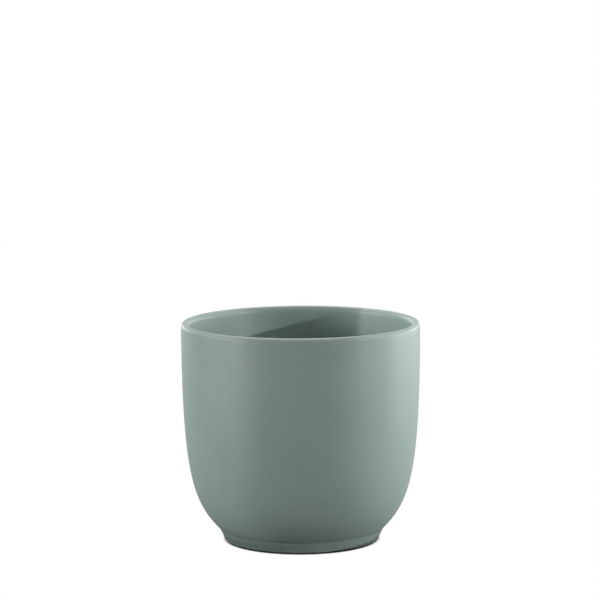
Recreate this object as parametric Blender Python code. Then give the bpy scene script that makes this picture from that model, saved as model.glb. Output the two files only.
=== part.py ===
"""Brush holder pot: a turned ceramic pot on four small protective pads.

The pot is one fired piece: a straight-sided mouth that curves in like an egg to a
low, drafted foot ring. Under it, inside the foot ring, sit four stuck-on pads that
lift the bare clay just clear of the desk.

Frame: metres, +Z up. The origin is on the pot's axis, on the desk it stands on.
"""

import math

import bmesh
import bpy
from mathutils import Vector

# Driving dimensions of the pot
POT_HEIGHT = 0.1292
RIM_RADIUS = 0.070
LIP_THICKNESS = 0.0046
LIP_OUTER_ROUND = 0.0021
LIP_INNER_DROP = 0.0033
FLOOR_THICKNESS = 0.0055

# Foot ring under the bowl
FOOT_CLEARANCE = 0.0008
FOOT_TOP_RADIUS = 0.0483
FOOT_TOP_Z = 0.0072
FOOT_BASE_RADIUS = 0.0459
FOOT_EDGE_RADIUS = 0.0010
FOOT_RING_WIDTH = 0.0050
RECESS_DEPTH = 0.0020
RECESS_FILLET = 0.0008

# Shape of the bowl's two curves: how far each end keeps its own direction
OUTER_STRAIGHT = 0.089
OUTER_SWEEP = 0.022
OUTER_SWEEP_ANGLE = math.radians(45.0)
INNER_STRAIGHT = 0.084
INNER_SWEEP = 0.024
INNER_FLOOR_RADIUS = 0.033

# Protective pads
PAD_RADIUS = 0.0060
PAD_THICKNESS = 0.0025
PAD_EDGE = 0.0003
PAD_CIRCLE_RADIUS = 0.0280
PAD_NAMES = ("pad_back_right", "pad_back_left", "pad_front_left", "pad_front_right")
FIRST_PAD_ANGLE = math.radians(45.0)

# Facets
TURN_STEPS = 96
BOWL_STEPS = 13
LIP_STEPS = 4
EDGE_STEPS = 3
PAD_STEPS = 32
SMOOTH_ANGLE = math.radians(35.0)
MERGE_DISTANCE = 0.00001


def clear_scene():
    for item in list(bpy.data.objects):
        bpy.data.objects.remove(item, do_unlink=True)


def make_material(name, color, roughness):
    material = bpy.data.materials.new(name)
    material.use_nodes = True
    shader = material.node_tree.nodes["Principled BSDF"]
    shader.inputs["Base Color"].default_value = (*color, 1.0)
    shader.inputs["Roughness"].default_value = roughness
    shader.inputs["Metallic"].default_value = 0.0
    material.diffuse_color = (*color, 1.0)
    return material


def ellipse_arc(centre, half_width, half_height, start_degrees, end_degrees, steps):
    """Points along part of an ellipse in the (radius, height) plane, both ends included."""
    points = []
    for step in range(steps + 1):
        angle = math.radians(start_degrees + (end_degrees - start_degrees) * step / steps)
        offset = Vector((half_width * math.cos(angle), half_height * math.sin(angle)))
        points.append(centre + offset)
    return points


def arc(centre, radius, start_degrees, end_degrees, steps):
    return ellipse_arc(centre, radius, radius, start_degrees, end_degrees, steps)


def bezier(start, start_handle, end_handle, end, steps):
    """Points along a cubic curve between two ends, the ends left out."""
    points = []
    for step in range(1, steps):
        t = step / steps
        s = 1.0 - t
        point = s ** 3 * start + 3 * s * s * t * start_handle
        points.append(point + 3 * s * t * t * end_handle + t ** 3 * end)
    return points


def inner_profile():
    """From the middle of the floor, out and up to the lip."""
    floor_z = FOOT_CLEARANCE + RECESS_DEPTH + FLOOR_THICKNESS
    floor_middle = Vector((0.0, floor_z))
    floor_edge = Vector((INNER_FLOOR_RADIUS, floor_z))
    wall_top = Vector((RIM_RADIUS - LIP_THICKNESS, POT_HEIGHT - LIP_INNER_DROP))
    floor_handle = floor_edge + Vector((INNER_SWEEP, 0.0))
    wall_handle = wall_top - Vector((0.0, INNER_STRAIGHT))
    curve = bezier(floor_edge, floor_handle, wall_handle, wall_top, BOWL_STEPS)
    return [floor_middle, floor_edge] + curve


def lip_profile():
    """The rounded lip: a long round up its inner side, and a tighter one outside."""
    crest_radius = RIM_RADIUS - LIP_OUTER_ROUND
    inner_centre = Vector((crest_radius, POT_HEIGHT - LIP_INNER_DROP))
    inner_width = LIP_THICKNESS - LIP_OUTER_ROUND
    inner = ellipse_arc(inner_centre, inner_width, LIP_INNER_DROP, 180.0, 90.0, LIP_STEPS)
    outer_centre = Vector((crest_radius, POT_HEIGHT - LIP_OUTER_ROUND))
    outer = arc(outer_centre, LIP_OUTER_ROUND, 90.0, 0.0, LIP_STEPS)
    return inner + outer[1:]


def outer_profile():
    """From under the lip down to the top of the foot ring."""
    wall_top = Vector((RIM_RADIUS, POT_HEIGHT - LIP_OUTER_ROUND))
    foot_top = Vector((FOOT_TOP_RADIUS, FOOT_TOP_Z))
    direction = Vector((math.cos(OUTER_SWEEP_ANGLE), math.sin(OUTER_SWEEP_ANGLE)))
    wall_handle = wall_top - Vector((0.0, OUTER_STRAIGHT))
    foot_handle = foot_top + OUTER_SWEEP * direction
    curve = bezier(wall_top, wall_handle, foot_handle, foot_top, BOWL_STEPS)
    return curve + [foot_top]


def foot_profile():
    """Down the drafted foot wall, across the bare ring and into the shallow recess."""
    edge_centre = Vector((FOOT_BASE_RADIUS - FOOT_EDGE_RADIUS, FOOT_CLEARANCE + FOOT_EDGE_RADIUS))
    outer_edge = arc(edge_centre, FOOT_EDGE_RADIUS, 0.0, -90.0, EDGE_STEPS)
    recess_radius = FOOT_BASE_RADIUS - FOOT_RING_WIDTH
    recess_z = FOOT_CLEARANCE + RECESS_DEPTH
    ring_inner_edge = Vector((recess_radius, FOOT_CLEARANCE))
    fillet_centre = Vector((recess_radius - RECESS_FILLET, recess_z - RECESS_FILLET))
    fillet = arc(fillet_centre, RECESS_FILLET, 0.0, 90.0, EDGE_STEPS)
    recess_middle = Vector((0.0, recess_z))
    return outer_edge + [ring_inner_edge] + fillet + [recess_middle]


def turned_mesh(name, profile, steps):
    """A closed solid turned from a profile that starts and ends on the Z axis."""
    body = bmesh.new()
    verts = [body.verts.new((point.x, 0.0, point.y)) for point in profile]
    edges = [body.edges.new(pair) for pair in zip(verts[:-1], verts[1:])]
    bmesh.ops.spin(
        body,
        geom=verts + edges,
        cent=(0.0, 0.0, 0.0),
        axis=(0.0, 0.0, 1.0),
        angle=math.tau,
        steps=steps,
        use_merge=True,
    )
    bmesh.ops.remove_doubles(body, verts=body.verts, dist=MERGE_DISTANCE)
    bmesh.ops.recalc_face_normals(body, faces=body.faces)
    mesh = bpy.data.meshes.new(name)
    body.to_mesh(mesh)
    body.free()
    mesh.shade_smooth()
    mesh.set_sharp_from_angle(angle=SMOOTH_ANGLE)
    return mesh


def add_object(name, mesh, material, parent):
    piece = bpy.data.objects.new(name, mesh)
    if not mesh.materials:
        mesh.materials.append(material)
    piece.parent = parent
    bpy.context.scene.collection.objects.link(piece)
    return piece


def add_pot(parent):
    """Wall, floor, lip and foot ring: one fired piece."""
    glaze = make_material("sage_glaze", (0.25, 0.32, 0.28), 0.5)
    profile = inner_profile() + lip_profile() + outer_profile() + foot_profile()
    mesh = turned_mesh("pot_body", profile, TURN_STEPS)
    return add_object("pot_body", mesh, glaze, parent)


def add_pads(parent):
    """Four round pads on one circle, each a film's thickness short of the recess."""
    felt = make_material("pad_felt", (0.42, 0.41, 0.38), 0.95)
    low_edge = arc(Vector((PAD_RADIUS - PAD_EDGE, PAD_EDGE)), PAD_EDGE, 0.0, -90.0, 1)
    profile = [Vector((0.0, PAD_THICKNESS)), Vector((PAD_RADIUS, PAD_THICKNESS))]
    profile += low_edge + [Vector((0.0, 0.0))]
    mesh = turned_mesh("foot_pad", profile, PAD_STEPS)
    for number, name in enumerate(PAD_NAMES):
        angle = FIRST_PAD_ANGLE + number * math.tau / len(PAD_NAMES)
        pad = add_object(name, mesh, felt, parent)
        pad.location = (
            PAD_CIRCLE_RADIUS * math.cos(angle),
            PAD_CIRCLE_RADIUS * math.sin(angle),
            0.0,
        )


def main():
    clear_scene()
    assembly = bpy.data.objects.new("brush_holder_pot", None)
    bpy.context.scene.collection.objects.link(assembly)
    add_pot(assembly)
    add_pads(assembly)


main()
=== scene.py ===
import math

import bpy
import numpy as np
from mathutils import Matrix, Vector, noise

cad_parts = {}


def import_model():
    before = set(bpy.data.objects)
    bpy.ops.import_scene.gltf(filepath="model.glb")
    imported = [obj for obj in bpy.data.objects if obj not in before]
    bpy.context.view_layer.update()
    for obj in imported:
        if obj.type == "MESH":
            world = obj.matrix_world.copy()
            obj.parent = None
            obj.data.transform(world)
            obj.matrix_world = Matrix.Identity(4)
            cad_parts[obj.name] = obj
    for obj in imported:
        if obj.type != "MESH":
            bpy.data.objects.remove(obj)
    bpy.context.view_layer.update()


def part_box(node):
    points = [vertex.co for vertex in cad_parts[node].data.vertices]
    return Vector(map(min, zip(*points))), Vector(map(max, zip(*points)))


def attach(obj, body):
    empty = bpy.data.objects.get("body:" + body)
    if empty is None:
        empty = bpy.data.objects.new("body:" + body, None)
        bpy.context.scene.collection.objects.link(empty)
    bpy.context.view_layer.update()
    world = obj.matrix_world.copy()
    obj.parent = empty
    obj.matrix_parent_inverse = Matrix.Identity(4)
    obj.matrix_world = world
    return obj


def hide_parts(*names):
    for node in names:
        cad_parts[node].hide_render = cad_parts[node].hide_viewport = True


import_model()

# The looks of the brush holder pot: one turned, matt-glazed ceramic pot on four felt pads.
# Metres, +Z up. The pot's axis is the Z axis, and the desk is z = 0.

# The pot, as the CAD has it
POT_LOW, POT_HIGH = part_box("pot_body")
RIM_RADIUS = POT_HIGH.x
POT_HEIGHT = POT_HIGH.z
FOOT_CLEARANCE = POT_LOW.z
LIP_THICKNESS = 0.0046
LIP_OUTER_ROUND = 0.0021
LIP_INNER_DROP = 0.0033
FLOOR_THICKNESS = 0.0055
FOOT_TOP_RADIUS = 0.0483
FOOT_TOP_Z = 0.0072
FOOT_BASE_RADIUS = 0.0459
FOOT_EDGE_RADIUS = 0.0010
FOOT_RING_WIDTH = 0.0050
RECESS_DEPTH = 0.0020
RECESS_FILLET = 0.0008
OUTER_STRAIGHT = 0.089
OUTER_SWEEP = 0.022
OUTER_SWEEP_ANGLE = math.radians(45.0)
INNER_STRAIGHT = 0.084
INNER_SWEEP = 0.024
INNER_FLOOR_RADIUS = 0.033

# Fine surface that the CAD leaves out
STEP_REACH = 0.0012
RING_EDGE_ROUND = 0.0003
RING_PITCH = 0.00125
RING_HEIGHT = 0.00007
RING_SWELL_LENGTH = 0.0093
RING_SMOOTH_LIP = 0.005
RING_FADE = 0.004
WAVER_HEIGHT = 0.00004
WAVER_BAND = 0.023

# How finely the pot's outline is cut up: distances along it, and steps in a curve
SEGMENTS = 144
FINE_SPACING = 0.00031
OUTSIDE_SPACING = 0.0022
FOOT_SPACING = 0.0016
BARE_RING_SPACING = 0.0012
RECESS_SPACING = 0.0035
BEZIER_STEPS = 600
LIP_INNER_STEPS = 16
LIP_OUTER_STEPS = 14
CORNER_STEPS = 8
FOOT_EDGE_STEPS = 8
RING_EDGE_STEPS = 3
FILLET_STEPS = 6

# Protective pads: pressed felt on a thin adhesive film
FILM_THICKNESS = FOOT_CLEARANCE + RECESS_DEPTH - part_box("pad_front_left")[1].z
FILM_INSET = 0.0002
FELT_EDGE = 0.0006
FELT_TOP_EDGE = 0.0003
FELT_FUZZ = 0.00013
FELT_TUFTS = 900.0
FELT_FIBRES = 3100.0
FELT_SEGMENTS = 96
FELT_UNDER_SPACING = 0.00035
FELT_SIDE_SPACING = 0.0003
FELT_TOP_SPACING = 0.0012
FELT_EDGE_STEPS = 5
FELT_TOP_EDGE_STEPS = 3
PAD_SMOOTH_ANGLE = math.radians(50.0)
PAD_NODES = ("pad_back_right", "pad_back_left", "pad_front_left", "pad_front_right")

# Glaze, clay, felt and film, as linear RGB
GLAZE_LIGHT = (0.252, 0.333, 0.299)
GLAZE_DEEP = (0.238, 0.315, 0.282)
# Paler crest tone: partly the glaze breaking thin over the lip, partly a painted highlight along
# the crest
GLAZE_THIN_AND_HIGHLIGHT = (0.300, 0.365, 0.325)
# Darkest glaze tone, used for the random clouds and for the darker corner over the foot
GLAZE_DARKEST = (0.226, 0.304, 0.272)
GLAZE_SPECK = (0.115, 0.120, 0.095)
GLAZE_ROUGHNESS = 0.45
GLAZE_ROUGHNESS_DRIFT = 0.04
GLAZE_IOR = 1.52
# Depth of the crest band, and how far it is painted paler, for the glaze break and a painted
# highlight
CREST_DEPTH = 0.0016
CREST_BREAK_AND_HIGHLIGHT = 0.9
# How far from the corner over the foot, and how strongly, the glaze is made darker
FOOT_CORNER_REACH = 0.0016
FOOT_CORNER_DARKENING = 0.7
CLOUD_AMOUNT = 0.16
SPECK_AMOUNT = 0.45
PEEL_SHARE = 0.28
GRAIN_SHARE = 0.06
CLAY_PALE = (0.560, 0.450, 0.330)
CLAY_DARK = (0.450, 0.345, 0.240)
CLAY_GROG = (0.240, 0.165, 0.110)
CLAY_ROUGHNESS = 0.92
CLAY_GRIT = 0.00006
BARE_EDGE_HEIGHT = 0.0001
FELT_PALE = (0.480, 0.470, 0.440)
FELT_DARK = (0.270, 0.262, 0.240)
FELT_WARM = (0.420, 0.385, 0.330)
FILM_CLEAR = (0.720, 0.700, 0.600)
FILM_HAZED = (0.800, 0.790, 0.720)
FILM_BUBBLE = (0.900, 0.900, 0.880)
FELT_RELIEF = 0.00025
BUBBLE_RELIEF = 0.00003

# Size of each material's markings, in features a metre
GLAZE_DRIFT = 38.0
GLAZE_SHEEN = 90.0
GLAZE_SPECKS = 620.0
GLAZE_CLOUDS = 640.0
GLAZE_PEEL = 750.0
GLAZE_GRAIN = 5200.0
WIPED_EDGE = 420.0
CLAY_BODY = 500.0
CLAY_GROGS = 1500.0
CLAY_GRAIN = 2600.0
FELT_PATCHES = 480.0
FELT_TANGLE = 2300.0
FILM_HAZE = 700.0
FILM_BUBBLES = 1300.0

# Studio: each light's name, degrees round the pot (0 is its right, 90 its back), degrees above
# its mouth, width and height in metres, and watts
LIGHTS = (
    ("right_box", 15, 2.0, 0.35, 0.35, 10.2),
    ("right_top_box", 0, 40.0, 0.35, 0.35, 5.0),
    ("right_back_box", 45, 2.0, 0.35, 0.35, 3.9),
    ("right_back_top_box", 45, 40.0, 0.35, 0.35, 2.9),
    ("left_strip", 188, 10.0, 0.09, 0.50, 7.6),
    ("left_front_box", 210, 2.0, 0.35, 0.35, 6.4),
    ("left_back_box", 165, 14.0, 0.35, 0.35, 1.8),
    ("back_left_box", 122, 4.0, 0.80, 0.60, 5.6),
    ("back_right_box", 60, 4.0, 0.70, 0.60, 2.2),
    ("back_panel", 90, 6.0, 1.3, 0.45, 1.4),
    ("back_high_box", 90, 50.0, 0.35, 0.35, 6.8),
    ("front_box", -90, 14.0, 0.35, 0.35, 0.9),
    ("front_right_spot", -25, 8.5, 0.04, 0.012, 8.6),
    ("front_low_spot", -17, 7.0, 0.04, 0.04, 1.0),
    ("high_back_spot", 150, 54.0, 0.03, 0.03, 5.0),
)
LIGHT_DISTANCE = 1.5
LIGHT_TARGET = (0.0, 0.0, POT_HEIGHT * 0.7)
BEAM_AZIMUTH = 230.0
BEAM_ELEVATION = 38.0
BEAM_TARGET = (0.062, 0.0257, 0.118)
BEAM_RADIUS = 0.040
BEAM_BLEND = 0.15
BEAM_SOURCE_RADIUS = 0.002
BEAM_WATTS = 30.0
ROOM_LIGHT = 0.222
FOOT_CARD_RADIUS = 0.078
FOOT_CARD_LOW = 0.0040
FOOT_CARD_HIGH = 0.0105
FOOT_CARD_RIGHT = 2.0
FOOT_CARD_LEFT = 165.0
FOOT_CARD_SWEEP = 165.0
CARD_SEGMENTS = 24
CARD_BLACK = 0.01
FLOOR_HALF_SIZE = 12.0
SHADE_REACH = 0.004
SHADE_DARK = 0.15
SHADE_WHITE = 0.55
SHADE_SAMPLES = 32
BOUNCE_ALBEDO = 0.20
BOUNCE_ROUGHNESS = 0.9
BOUNCE_FLOOR_Z = -0.0005
WHITE = (1.0, 1.0, 1.0)
BLACK = (0.0, 0.0, 0.0)

# Camera
VIEW_DISTANCE = 1.70
VIEW_ELEVATION = math.radians(10.325)
VIEW_TARGET_X = -0.00022
VIEW_TARGET_Z = 0.0646
VIEW_PITCH_DOWN = math.radians(7.745)
VIEW_ROLL = math.radians(-0.34)
LENS_MM = 173.2
SENSOR_MM = 36.0
VIEW_CLIP_END = 20.0


# ---------------------------------------------------------------- profile of the pot

def arc(centre, size, start_degrees, end_degrees, steps):
    """Part of an ellipse of half-axes size, or of a circle where size is one number."""
    angles = np.radians(np.linspace(start_degrees, end_degrees, steps + 1))
    circle = np.stack([np.cos(angles), np.sin(angles)], axis=1)
    return np.asarray(centre) + circle * np.asarray(size)


def bezier(start, start_handle, end_handle, end, steps=BEZIER_STEPS):
    t = np.linspace(0.0, 1.0, steps + 1)[:, None]
    s = 1.0 - t
    ends = s ** 3 * np.asarray(start) + t ** 3 * np.asarray(end)
    return ends + 3 * s * s * t * np.asarray(start_handle) + 3 * s * t * t * np.asarray(end_handle)


def evenly_spaced(points, spacing):
    """The same line, with points about one spacing apart along it."""
    steps = np.hypot(*np.diff(points, axis=0).T)
    along = np.concatenate([[0.0], np.cumsum(steps)])
    count = max(int(round(along[-1] / spacing)), 1)
    wanted = np.linspace(0.0, along[-1], count + 1)
    return np.stack([np.interp(wanted, along, points[:, k]) for k in (0, 1)], axis=1)


def inner_stretch():
    floor_z = FOOT_CLEARANCE + RECESS_DEPTH + FLOOR_THICKNESS
    floor_edge = (INNER_FLOOR_RADIUS, floor_z)
    floor_handle = (INNER_FLOOR_RADIUS + INNER_SWEEP, floor_z)
    wall_top = (RIM_RADIUS - LIP_THICKNESS, POT_HEIGHT - LIP_INNER_DROP)
    wall_handle = (wall_top[0], wall_top[1] - INNER_STRAIGHT)
    wall = bezier(floor_edge, floor_handle, wall_handle, wall_top)
    return np.concatenate([[(0.0, floor_z)], wall])


def lip_stretch():
    """Up a longer round on the inside to the crest, and down a tighter one outside."""
    crest_radius = RIM_RADIUS - LIP_OUTER_ROUND
    inner_size = (LIP_THICKNESS - LIP_OUTER_ROUND, LIP_INNER_DROP)
    inner_centre = (crest_radius, POT_HEIGHT - LIP_INNER_DROP)
    inner = arc(inner_centre, inner_size, 180.0, 90.0, LIP_INNER_STEPS)
    outer_centre = (crest_radius, POT_HEIGHT - LIP_OUTER_ROUND)
    outer = arc(outer_centre, LIP_OUTER_ROUND, 90.0, 0.0, LIP_OUTER_STEPS)
    return np.concatenate([inner, outer[1:]])


def outer_stretch():
    wall_top = (RIM_RADIUS, POT_HEIGHT - LIP_OUTER_ROUND)
    wall_handle = (RIM_RADIUS, wall_top[1] - OUTER_STRAIGHT)
    foot_top = (FOOT_TOP_RADIUS, FOOT_TOP_Z)
    sweep_x = OUTER_SWEEP * math.cos(OUTER_SWEEP_ANGLE)
    sweep_z = OUTER_SWEEP * math.sin(OUTER_SWEEP_ANGLE)
    foot_handle = (foot_top[0] + sweep_x, foot_top[1] + sweep_z)
    return bezier(wall_top, wall_handle, foot_handle, foot_top)


def foot_wall_stretch():
    edge_z = FOOT_CLEARANCE + FOOT_EDGE_RADIUS
    return np.array([(FOOT_TOP_RADIUS, FOOT_TOP_Z), (FOOT_BASE_RADIUS, edge_z)])


def softened_corner(before, after, reach):
    """A small curve where two stretches meet, in place of their sharp corner, and its end."""
    corner = before[-1]
    into = before[np.hypot(*(before - corner).T) > reach][-1]
    out_of = corner + reach * (after[-1] - corner) / np.hypot(*(after[-1] - corner))
    return bezier(into, corner, corner, out_of, CORNER_STEPS), out_of


def base_stretch():
    """The foot's rounded edge, the bare ring's inner edge, the recess's fillet and its middle."""
    edge_centre = (FOOT_BASE_RADIUS - FOOT_EDGE_RADIUS, FOOT_CLEARANCE + FOOT_EDGE_RADIUS)
    edge = arc(edge_centre, FOOT_EDGE_RADIUS, 0.0, -90.0, FOOT_EDGE_STEPS)
    recess_radius = FOOT_BASE_RADIUS - FOOT_RING_WIDTH
    recess_z = FOOT_CLEARANCE + RECESS_DEPTH
    ring_centre = (recess_radius + RING_EDGE_ROUND, FOOT_CLEARANCE + RING_EDGE_ROUND)
    ring_edge = arc(ring_centre, RING_EDGE_ROUND, 270.0, 180.0, RING_EDGE_STEPS)
    fillet_centre = (recess_radius - RECESS_FILLET, recess_z - RECESS_FILLET)
    fillet = arc(fillet_centre, RECESS_FILLET, 0.0, 90.0, FILLET_STEPS)
    return edge, ring_edge, fillet, (0.0, recess_z)


def pot_profile():
    """The whole turned outline as one line, and which zone each of its points is in."""
    inner = evenly_spaced(inner_stretch(), FINE_SPACING)
    lip = lip_stretch()
    outer_all = outer_stretch()
    foot_wall = foot_wall_stretch()
    step, out_of = softened_corner(outer_all, foot_wall, STEP_REACH)
    keep = np.hypot(*(outer_all - outer_all[-1]).T) > STEP_REACH
    outer = evenly_spaced(outer_all[keep], OUTSIDE_SPACING)
    wall = evenly_spaced(np.array([out_of, foot_wall[-1]]), FOOT_SPACING)
    edge, ring_edge, fillet, centre = base_stretch()
    ring = evenly_spaced(np.array([edge[-1], ring_edge[0]]), BARE_RING_SPACING)
    recess = evenly_spaced(np.array([fillet[-1], centre]), RECESS_SPACING)
    stretches = [
        ("inside", inner[:-1]),
        ("lip", lip[:-1]),
        ("outside", outer[:-1]),
        ("step", step[:-1]),
        ("foot", wall[:-1]),
        ("edge", edge[:-1]),
        ("ring", ring[:-1]),
        ("ring", ring_edge[:-1]),
        ("recess", np.concatenate([[ring_edge[-1]], fillet[:-1]])),
        ("recess", recess),
    ]
    points = np.concatenate([stretch for _, stretch in stretches])
    zones = np.concatenate([[zone] * len(stretch) for zone, stretch in stretches])
    return points, zones


# ---------------------------------------------------------------- meshes

def new_mesh_object(name, vertices, faces):
    mesh = bpy.data.meshes.new(name)
    mesh.from_pydata([tuple(v) for v in vertices], [], faces)
    mesh.validate()
    mesh.shade_smooth()
    thing = bpy.data.objects.new(name, mesh)
    bpy.context.scene.collection.objects.link(thing)
    return thing


def turned_faces(ring_count, segments, first=0):
    """Faces of a turned solid whose first and last vertices are its two poles."""
    faces = []
    last = first + ring_count * segments + 1
    for k in range(segments):
        following = (k + 1) % segments
        top = first + 1
        faces.append((first, top + k, top + following))
        for ring in range(ring_count - 1):
            low = top + ring * segments
            high = low + segments
            faces.append((low + k, high + k, high + following, low + following))
        low = top + (ring_count - 1) * segments
        faces.append((low + k, last, low + following))
    return faces


def outward_normals(points):
    """Unit normals of a profile that runs out along the floor and down the outside."""
    along = np.gradient(points, axis=0)
    normals = np.stack([-along[:, 1], along[:, 0]], axis=1)
    return normals / np.hypot(*normals.T)[:, None]


def ring_relief(along, turn):
    """Height of the turning rings: fine helical ridges that swell and fade a little."""
    ridges = np.sin(math.tau * along / RING_PITCH - turn)
    swell = 0.7 + 0.3 * np.sin(math.tau * along / RING_SWELL_LENGTH + 2.0 * np.sin(turn))
    return RING_HEIGHT * ridges * swell


def waver(along, turn):
    """The slow unevenness of a hand-finished wall, only ever inward."""
    lobes = np.sin(2 * turn + 0.7) + 0.6 * np.sin(3 * turn + 9.0 * along + 2.1)
    bands = np.sin(math.tau * along / WAVER_BAND + np.sin(turn + 0.5))
    return -WAVER_HEIGHT * (1.0 + 0.4 * lobes + 0.25 * bands) / 1.9


def glaze_masks(points, zones):
    """How far each profile point is up the crest, near the corner over the foot and on bare clay.
    """
    # The crest band, which the glaze colour paints paler: partly glaze break, partly painted
    # highlight
    crest_break_and_highlight = np.clip((points[:, 1] - (POT_HEIGHT - CREST_DEPTH)) / CREST_DEPTH, 0.0, 1.0)
    # Nearness to the corner where the bowl meets the foot
    step_distance = np.hypot(points[:, 0] - FOOT_TOP_RADIUS, points[:, 1] - FOOT_TOP_Z)
    foot_corner = np.clip(1.0 - step_distance / FOOT_CORNER_REACH, 0.0, 1.0)
    low_edge = (zones == "edge") & (points[:, 1] < FOOT_CLEARANCE + BARE_EDGE_HEIGHT)
    bare = ((zones == "ring") | low_edge).astype(float)
    return {"crest_break_and_highlight": crest_break_and_highlight, "foot_corner": foot_corner, "bare": bare}


def add_masks(mesh, masks, segments):
    """Each profile point's masks on the whole ring of vertices turned from it."""
    for name, values in masks.items():
        layer = mesh.attributes.new(name, "FLOAT", "POINT")
        spread = np.repeat(values[1:-1], segments)
        spread = np.concatenate([values[:1], spread, values[-1:]])
        layer.data.foreach_set("value", spread.astype(np.float32))


def pot_mesh():
    points, zones = pot_profile()
    steps = np.hypot(*np.diff(points, axis=0).T)
    along = np.concatenate([[0.0], np.cumsum(steps)])
    normals = outward_normals(points)
    inner_length = along[zones == "inside"][-1]
    turns = np.arange(SEGMENTS) * math.tau / SEGMENTS
    fade_in = np.clip(along / RING_FADE, 0.0, 1.0)
    fade_out = np.clip((inner_length - RING_SMOOTH_LIP - along) / RING_FADE, 0.0, 1.0)
    ring_amount = np.where(zones == "inside", fade_in * fade_out, 0.0)
    wall = np.isin(zones, ("outside", "lip"))
    vertices = [(0.0, 0.0, points[0, 1])]
    for i in range(1, len(points) - 1):
        shift = ring_amount[i] * ring_relief(along[i], turns)
        if wall[i]:
            shift = shift + waver(along[i] - inner_length, turns)
        radius = points[i, 0] + shift * normals[i, 0]
        height = points[i, 1] + shift * normals[i, 1]
        vertices.extend(zip(radius * np.cos(turns), radius * np.sin(turns), height))
    vertices.append((0.0, 0.0, points[-1, 1]))
    faces = turned_faces(len(points) - 2, SEGMENTS)
    pot = new_mesh_object("glazed_pot", vertices, faces)
    add_masks(pot.data, glaze_masks(points, zones), SEGMENTS)
    return pot


def felt_rings(radius, height):
    """Profile of the felt: up from the middle of its underside and over its cut edge."""
    flat = np.array([(0.0, 0.0), (radius - FELT_EDGE, 0.0)])
    under = evenly_spaced(flat, FELT_UNDER_SPACING)
    low_centre = (radius - FELT_EDGE, FELT_EDGE)
    low = arc(low_centre, FELT_EDGE, 270.0, 360.0, FELT_EDGE_STEPS)
    high_centre = (radius - FELT_TOP_EDGE, height - FELT_TOP_EDGE)
    high = arc(high_centre, FELT_TOP_EDGE, 0.0, 90.0, FELT_TOP_EDGE_STEPS)
    side = evenly_spaced(np.array([low[-1], high[0]]), FELT_SIDE_SPACING)
    top = evenly_spaced(np.array([high[-1], (0.0, height)]), FELT_TOP_SPACING)
    return np.concatenate([under, low[1:-1], side[:-1], high[:-1], top])


def film_rings(radius, low, high):
    """Profile of the film: a thin flat disc."""
    return np.array([(0.0, low), (radius, low), (radius, high), (0.0, high)])


def turned_vertices(profile, centre, segments, shrink=None):
    """Rings of vertices round a centre, each pulled in by what shrink says there."""
    low, high = profile[:, 1].min(), profile[:, 1].max()
    middle = Vector((centre[0], centre[1], (low + high) / 2))
    vertices = [Vector((*centre, profile[0, 1]))]
    for radius, height in profile[1:-1]:
        for k in range(segments):
            turn = math.tau * k / segments
            x = centre[0] + radius * math.cos(turn)
            y = centre[1] + radius * math.sin(turn)
            vertices.append(Vector((x, y, height)))
    vertices.append(Vector((*centre, profile[-1, 1])))
    if shrink:
        vertices = [v + (middle - v).normalized() * shrink(v) for v in vertices]
    return vertices


def felt_fuzz(place):
    """How far the felt's surface is below its outline here: matted tufts and fine fibres."""
    tufts = noise.noise(place * FELT_TUFTS) * 0.5 + 0.5
    fibres = noise.noise(place * FELT_FIBRES + Vector((3.0, 7.0, 1.0))) * 0.5 + 0.5
    return FELT_FUZZ * (0.6 * tufts + 0.4 * fibres)


def felt_pad(node_name):
    """A felt disc and the adhesive film over it, which reaches up to the clay."""
    low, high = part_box(node_name)
    centre = ((low.x + high.x) / 2, (low.y + high.y) / 2)
    radius = (high.x - low.x) / 2
    felt = felt_rings(radius, high.z - low.z)
    vertices = turned_vertices(felt, centre, FELT_SEGMENTS, felt_fuzz)
    faces = turned_faces(len(felt) - 2, FELT_SEGMENTS)
    felt_faces = len(faces)
    film = film_rings(radius - FILM_INSET, high.z - FELT_FUZZ, high.z + FILM_THICKNESS)
    faces += turned_faces(len(film) - 2, FELT_SEGMENTS, len(vertices))
    vertices += turned_vertices(film, centre, FELT_SEGMENTS)
    pad = new_mesh_object("felt_" + node_name, vertices, faces)
    for polygon in pad.data.polygons[felt_faces:]:
        polygon.material_index = 1
    pad.data.set_sharp_from_angle(angle=PAD_SMOOTH_ANGLE)
    return pad


# ---------------------------------------------------------------- materials

def new_material(name):
    material = bpy.data.materials.new(name)
    material.use_nodes = True
    tree = material.node_tree
    return material, tree, tree.nodes["Principled BSDF"]


def wire(tree, source, target):
    tree.links.new(source, target)


def noise_node(tree, place, scale, detail, roughness=0.5, distortion=0.0):
    """A noise of this many features a metre, as a factor."""
    made = tree.nodes.new("ShaderNodeTexNoise")
    made.inputs["Scale"].default_value = scale
    made.inputs["Detail"].default_value = detail
    made.inputs["Roughness"].default_value = roughness
    made.inputs["Distortion"].default_value = distortion
    wire(tree, place, made.inputs["Vector"])
    return made.outputs["Fac"]


def cell_node(tree, place, scale):
    """Scattered points of this many a metre: distance to the nearest, and its own number."""
    made = tree.nodes.new("ShaderNodeTexVoronoi")
    made.inputs["Scale"].default_value = scale
    wire(tree, place, made.inputs["Vector"])
    split = tree.nodes.new("ShaderNodeSeparateColor")
    wire(tree, made.outputs["Color"], split.inputs["Color"])
    return made.outputs["Distance"], split.outputs["Red"]


def object_place(tree):
    return tree.nodes.new("ShaderNodeTexCoord").outputs["Object"]


def mask_node(tree, name):
    """One of the mesh's own masks, by its name."""
    made = tree.nodes.new("ShaderNodeAttribute")
    made.attribute_name = name
    return made.outputs["Fac"]


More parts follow.
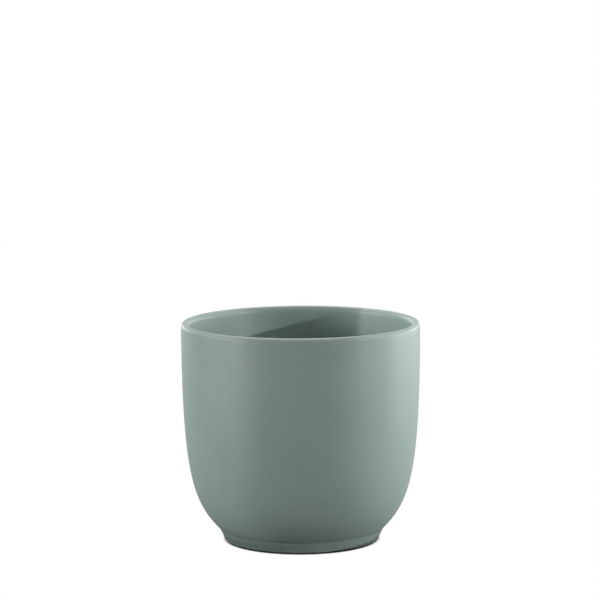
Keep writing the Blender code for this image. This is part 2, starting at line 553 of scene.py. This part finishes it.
def ranged(tree, value, low, high, to_low=0.0, to_high=1.0):
    """The value moved from one range to another and kept within it."""
    made = tree.nodes.new("ShaderNodeMapRange")
    made.inputs["From Min"].default_value = low
    made.inputs["From Max"].default_value = high
    made.inputs["To Min"].default_value = to_low
    made.inputs["To Max"].default_value = to_high
    wire(tree, value, made.inputs["Value"])
    return made.outputs["Result"]


def sum_node(tree, operation, first, second):
    """One sum of two inputs, each an output to read or a plain number."""
    made = tree.nodes.new("ShaderNodeMath")
    made.operation = operation
    for socket, value in zip(made.inputs, (first, second)):
        if isinstance(value, (int, float)):
            socket.default_value = value
        else:
            wire(tree, value, socket)
    return made.outputs["Value"]


def colour_mix(tree, factor, first, second):
    """A blend of two colours, each an output to read or a plain RGB."""
    made = tree.nodes.new("ShaderNodeMix")
    made.data_type = "RGBA"
    wire(tree, factor, made.inputs["Factor"])
    for name, value in (("A", first), ("B", second)):
        socket = next(i for i in made.inputs if i.name == name and i.type == "RGBA")
        if isinstance(value, tuple):
            socket.default_value = (*value, 1.0)
        else:
            wire(tree, value, socket)
    return next(o for o in made.outputs if o.type == "RGBA")


def number_mix(tree, factor, first, second):
    """A blend of two numbers by a factor."""
    apart = sum_node(tree, "SUBTRACT", second, first)
    share = sum_node(tree, "MULTIPLY", apart, factor)
    return sum_node(tree, "ADD", first, share)


def add_bump(tree, shader, height, distance):
    """Relief of this many metres from low to high."""
    made = tree.nodes.new("ShaderNodeBump")
    made.inputs["Distance"].default_value = distance
    wire(tree, height, made.inputs["Height"])
    wire(tree, made.outputs["Normal"], shader.inputs["Normal"])


def speck_mask(tree, place, scale, size, chosen):
    """Round specks of up to size of a cell, in the chosen share of the cells."""
    distance, number = cell_node(tree, place, scale)
    inside = ranged(tree, distance, size, size * 0.5)
    kept = ranged(tree, number, 1.0 - chosen, 1.0 - chosen * 0.9)
    return sum_node(tree, "MULTIPLY", inside, kept)


def glaze_colour(tree, place):
    """Sage green that drifts a little in depth, is darker in the corner over the foot, and is
    paler on the crest, partly where the glaze breaks thin and partly as a painted highlight.
    """
    drift = ranged(tree, noise_node(tree, place, GLAZE_DRIFT, 3.0), 0.3, 0.7)
    colour = colour_mix(tree, drift, GLAZE_DEEP, GLAZE_LIGHT)
    cloud = noise_node(tree, place, GLAZE_CLOUDS, 2.0)
    cloud = ranged(tree, cloud, 0.35, 0.75, 0.0, CLOUD_AMOUNT)
    colour = colour_mix(tree, cloud, colour, GLAZE_DARKEST)
    # Crest painted paler: partly the glaze breaking thin, partly a painted highlight along it
    crest_break_and_highlight = ranged(tree, mask_node(tree, "crest_break_and_highlight"), 0.3, 1.0, 0.0, CREST_BREAK_AND_HIGHLIGHT)
    colour = colour_mix(tree, crest_break_and_highlight, colour, GLAZE_THIN_AND_HIGHLIGHT)
    # Darker towards the corner over the foot
    foot_corner = ranged(tree, mask_node(tree, "foot_corner"), 0.0, 1.0, 0.0, FOOT_CORNER_DARKENING)
    colour = colour_mix(tree, foot_corner, colour, GLAZE_DARKEST)
    specks = speck_mask(tree, place, GLAZE_SPECKS, 0.11, 0.10)
    specks = ranged(tree, specks, 0.0, 1.0, 0.0, SPECK_AMOUNT)
    return colour_mix(tree, specks, colour, GLAZE_SPECK)


def clay_colour(tree, place):
    """Buff fired clay with dark grog in it."""
    body = ranged(tree, noise_node(tree, place, CLAY_BODY, 4.0), 0.35, 0.65)
    colour = colour_mix(tree, body, CLAY_DARK, CLAY_PALE)
    grog = speck_mask(tree, place, CLAY_GROGS, 0.22, 0.25)
    return colour_mix(tree, grog, colour, CLAY_GROG)


def bare_mask(tree, place):
    """Where the glaze was wiped away, with a slightly uneven edge."""
    edge = ranged(tree, noise_node(tree, place, WIPED_EDGE, 2.0), 0.3, 0.7, -0.3, 0.3)
    uneven = sum_node(tree, "ADD", mask_node(tree, "bare"), edge)
    return ranged(tree, uneven, 0.46, 0.54)


def glaze_skin(tree, place):
    """The glaze's slight orange peel and its matt grain."""
    peel = noise_node(tree, place, GLAZE_PEEL, 2.0)
    grain = noise_node(tree, place, GLAZE_GRAIN, 1.0)
    peel_height = sum_node(tree, "MULTIPLY", peel, PEEL_SHARE)
    grain_height = sum_node(tree, "MULTIPLY", grain, GRAIN_SHARE)
    return sum_node(tree, "ADD", peel_height, grain_height)


def glaze_material():
    """Matt sage glaze, and bare clay where the mesh says so."""
    material, tree, shader = new_material("matt_sage_glaze")
    place = object_place(tree)
    bare = bare_mask(tree, place)
    colour = colour_mix(tree, bare, glaze_colour(tree, place), clay_colour(tree, place))
    wire(tree, colour, shader.inputs["Base Color"])
    sheen = noise_node(tree, place, GLAZE_SHEEN, 5.0, 0.6)
    smooth = GLAZE_ROUGHNESS - GLAZE_ROUGHNESS_DRIFT
    rough = GLAZE_ROUGHNESS + GLAZE_ROUGHNESS_DRIFT
    glaze_roughness = ranged(tree, sheen, 0.3, 0.7, smooth, rough)
    roughness = number_mix(tree, bare, glaze_roughness, CLAY_ROUGHNESS)
    wire(tree, roughness, shader.inputs["Roughness"])
    shader.inputs["IOR"].default_value = GLAZE_IOR
    grit = noise_node(tree, place, CLAY_GRAIN, 4.0, 0.65)
    relief = number_mix(tree, bare, glaze_skin(tree, place), grit)
    add_bump(tree, shader, relief, CLAY_GRIT)
    return material


def felt_material():
    """Pressed grey felt: tangled fibres in uneven warmer patches."""
    material, tree, shader = new_material("grey_felt")
    place = object_place(tree)
    tangle = noise_node(tree, place, FELT_TANGLE, 6.0, 0.7, 1.6)
    fibres = ranged(tree, tangle, 0.32, 0.68)
    colour = colour_mix(tree, fibres, FELT_DARK, FELT_PALE)
    patches = ranged(tree, noise_node(tree, place, FELT_PATCHES, 3.0), 0.35, 0.65, 0.0, 0.35)
    colour = colour_mix(tree, patches, colour, FELT_WARM)
    wire(tree, colour, shader.inputs["Base Color"])
    roughness = ranged(tree, tangle, 0.3, 0.7, 0.88, 1.0)
    wire(tree, roughness, shader.inputs["Roughness"])
    shader.inputs["Sheen Weight"].default_value = 0.35
    shader.inputs["Sheen Roughness"].default_value = 0.6
    add_bump(tree, shader, tangle, FELT_RELIEF)
    return material


def film_material():
    """Waxy, faintly yellowed adhesive film with small trapped bubbles."""
    material, tree, shader = new_material("adhesive_film")
    place = object_place(tree)
    haze = ranged(tree, noise_node(tree, place, FILM_HAZE, 3.0), 0.35, 0.65)
    colour = colour_mix(tree, haze, FILM_CLEAR, FILM_HAZED)
    bubbles = speck_mask(tree, place, FILM_BUBBLES, 0.3, 0.3)
    colour = colour_mix(tree, bubbles, colour, FILM_BUBBLE)
    wire(tree, colour, shader.inputs["Base Color"])
    wire(tree, ranged(tree, haze, 0.0, 1.0, 0.28, 0.42), shader.inputs["Roughness"])
    add_bump(tree, shader, bubbles, BUBBLE_RELIEF)
    return material


# ---------------------------------------------------------------- stage, light, camera

def floor_plane(name, z):
    corners = ((-1, -1), (1, -1), (1, 1), (-1, 1))
    vertices = [(x * FLOOR_HALF_SIZE, y * FLOOR_HALF_SIZE, z) for x, y in corners]
    return new_mesh_object(name, vertices, [(0, 1, 2, 3)])


def studio_floor():
    """The even white floor that the camera sees, shaded only where the pot closes over it."""
    thing = floor_plane("studio_floor", 0.0)
    material, tree, shader = new_material("white_floor")
    shader.inputs["Base Color"].default_value = (*BLACK, 1.0)
    shader.inputs["Specular IOR Level"].default_value = 0.0
    shader.inputs["Emission Color"].default_value = (*WHITE, 1.0)
    contact = tree.nodes.new("ShaderNodeAmbientOcclusion")
    contact.samples = SHADE_SAMPLES
    contact.inputs["Distance"].default_value = SHADE_REACH
    shade = ranged(tree, contact.outputs["AO"], SHADE_DARK, SHADE_WHITE)
    wire(tree, shade, shader.inputs["Emission Strength"])
    thing.data.materials.append(material)
    thing.visible_diffuse = False
    thing.visible_glossy = False
    thing.visible_shadow = False


def bounce_floor():
    """A greyer floor just under the white one, unseen, that lights the pot from below."""
    thing = floor_plane("bounce_floor", BOUNCE_FLOOR_Z)
    material, tree, shader = new_material("bounce_grey")
    shader.inputs["Base Color"].default_value = (*[BOUNCE_ALBEDO] * 3, 1.0)
    shader.inputs["Roughness"].default_value = BOUNCE_ROUGHNESS
    thing.data.materials.append(material)
    thing.visible_camera = False


def foot_cards():
    """Two low unseen black cards, left and right, which keep side light off the foot."""
    vertices, faces = [], []
    for middle in (FOOT_CARD_RIGHT, FOOT_CARD_LEFT):
        for k in range(CARD_SEGMENTS + 1):
            turn = math.radians(middle + FOOT_CARD_SWEEP * (k / CARD_SEGMENTS - 0.5))
            x = FOOT_CARD_RADIUS * math.cos(turn)
            y = FOOT_CARD_RADIUS * math.sin(turn)
            if k > 0:
                low = len(vertices)
                faces.append((low - 2, low, low + 1, low - 1))
            vertices.append((x, y, FOOT_CARD_LOW))
            vertices.append((x, y, FOOT_CARD_HIGH))
    thing = new_mesh_object("foot_cards", vertices, faces)
    material, tree, shader = new_material("card_black")
    shader.inputs["Base Color"].default_value = (*[CARD_BLACK] * 3, 1.0)
    thing.data.materials.append(material)
    thing.visible_camera = False
    thing.visible_diffuse = False
    thing.visible_glossy = False


def placed(azimuth, elevation):
    """A light's place, given in degrees round the pot and above the middle of its mouth."""
    turn = math.radians(azimuth)
    rise = math.radians(elevation)
    flat = LIGHT_DISTANCE * math.cos(rise)
    height = POT_HEIGHT + LIGHT_DISTANCE * math.sin(rise)
    return Vector((flat * math.cos(turn), flat * math.sin(turn), height))


def add_light(light, azimuth, elevation, target):
    thing = bpy.data.objects.new(light.name, light)
    bpy.context.scene.collection.objects.link(thing)
    thing.location = placed(azimuth, elevation)
    direction = Vector(target) - thing.location
    thing.rotation_euler = direction.to_track_quat("-Z", "Y").to_euler()


def softbox(name, azimuth, elevation, width, height, watts):
    """A rectangular light that faces the pot."""
    light = bpy.data.lights.new(name, "AREA")
    light.shape = "RECTANGLE"
    light.size = width
    light.size_y = height
    light.energy = watts
    add_light(light, azimuth, elevation, LIGHT_TARGET)


def inside_beam():
    """A narrow spot over the near lip, which lights one side of the inside wall only."""
    light = bpy.data.lights.new("inside_beam", "SPOT")
    light.energy = BEAM_WATTS
    light.spot_size = 2.0 * math.atan(BEAM_RADIUS / LIGHT_DISTANCE)
    light.spot_blend = BEAM_BLEND
    light.shadow_soft_size = BEAM_SOURCE_RADIUS
    add_light(light, BEAM_AZIMUTH, BEAM_ELEVATION, BEAM_TARGET)


def camera():
    lens = bpy.data.cameras.new("camera")
    lens.lens = LENS_MM
    lens.sensor_width = SENSOR_MM
    lens.clip_end = VIEW_CLIP_END
    thing = bpy.data.objects.new("camera", lens)
    bpy.context.scene.collection.objects.link(thing)
    back = VIEW_DISTANCE * math.cos(VIEW_ELEVATION)
    up = VIEW_DISTANCE * math.sin(VIEW_ELEVATION)
    place = Matrix.Translation((VIEW_TARGET_X, -back, VIEW_TARGET_Z + up))
    pitch = Matrix.Rotation(math.radians(90.0) - VIEW_PITCH_DOWN, 4, "X")
    roll = Matrix.Rotation(VIEW_ROLL, 4, "Z")
    thing.matrix_world = place @ pitch @ roll
    bpy.context.scene.camera = thing


def world():
    """Dim even light from all round, behind it the white that the camera sees."""
    surroundings = bpy.data.worlds.new("white_studio")
    surroundings.use_nodes = True
    tree = surroundings.node_tree
    room = tree.nodes["Background"]
    room.inputs["Color"].default_value = (*WHITE, 1.0)
    room.inputs["Strength"].default_value = ROOM_LIGHT
    backdrop = tree.nodes.new("ShaderNodeBackground")
    backdrop.inputs["Color"].default_value = (*WHITE, 1.0)
    seen = tree.nodes.new("ShaderNodeLightPath")
    choice = tree.nodes.new("ShaderNodeMixShader")
    wire(tree, seen.outputs["Is Camera Ray"], choice.inputs["Fac"])
    wire(tree, room.outputs["Background"], choice.inputs[1])
    wire(tree, backdrop.outputs["Background"], choice.inputs[2])
    wire(tree, choice.outputs["Shader"], tree.nodes["World Output"].inputs["Surface"])
    bpy.context.scene.world = surroundings


def studio():
    bpy.context.scene.view_settings.view_transform = "Standard"
    camera()
    world()
    studio_floor()
    bounce_floor()
    foot_cards()
    for light in LIGHTS:
        softbox(*light)
    inside_beam()


def glazed_pot():
    pot = pot_mesh()
    pot.data.materials.append(glaze_material())
    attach(pot, "root")
    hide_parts("pot_body")


def felt_pads():
    felt = felt_material()
    film = film_material()
    for name in PAD_NODES:
        pad = felt_pad(name)
        pad.data.materials.append(felt)
        pad.data.materials.append(film)
        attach(pad, "root")
        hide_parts(name)


studio()
glazed_pot()
felt_pads()
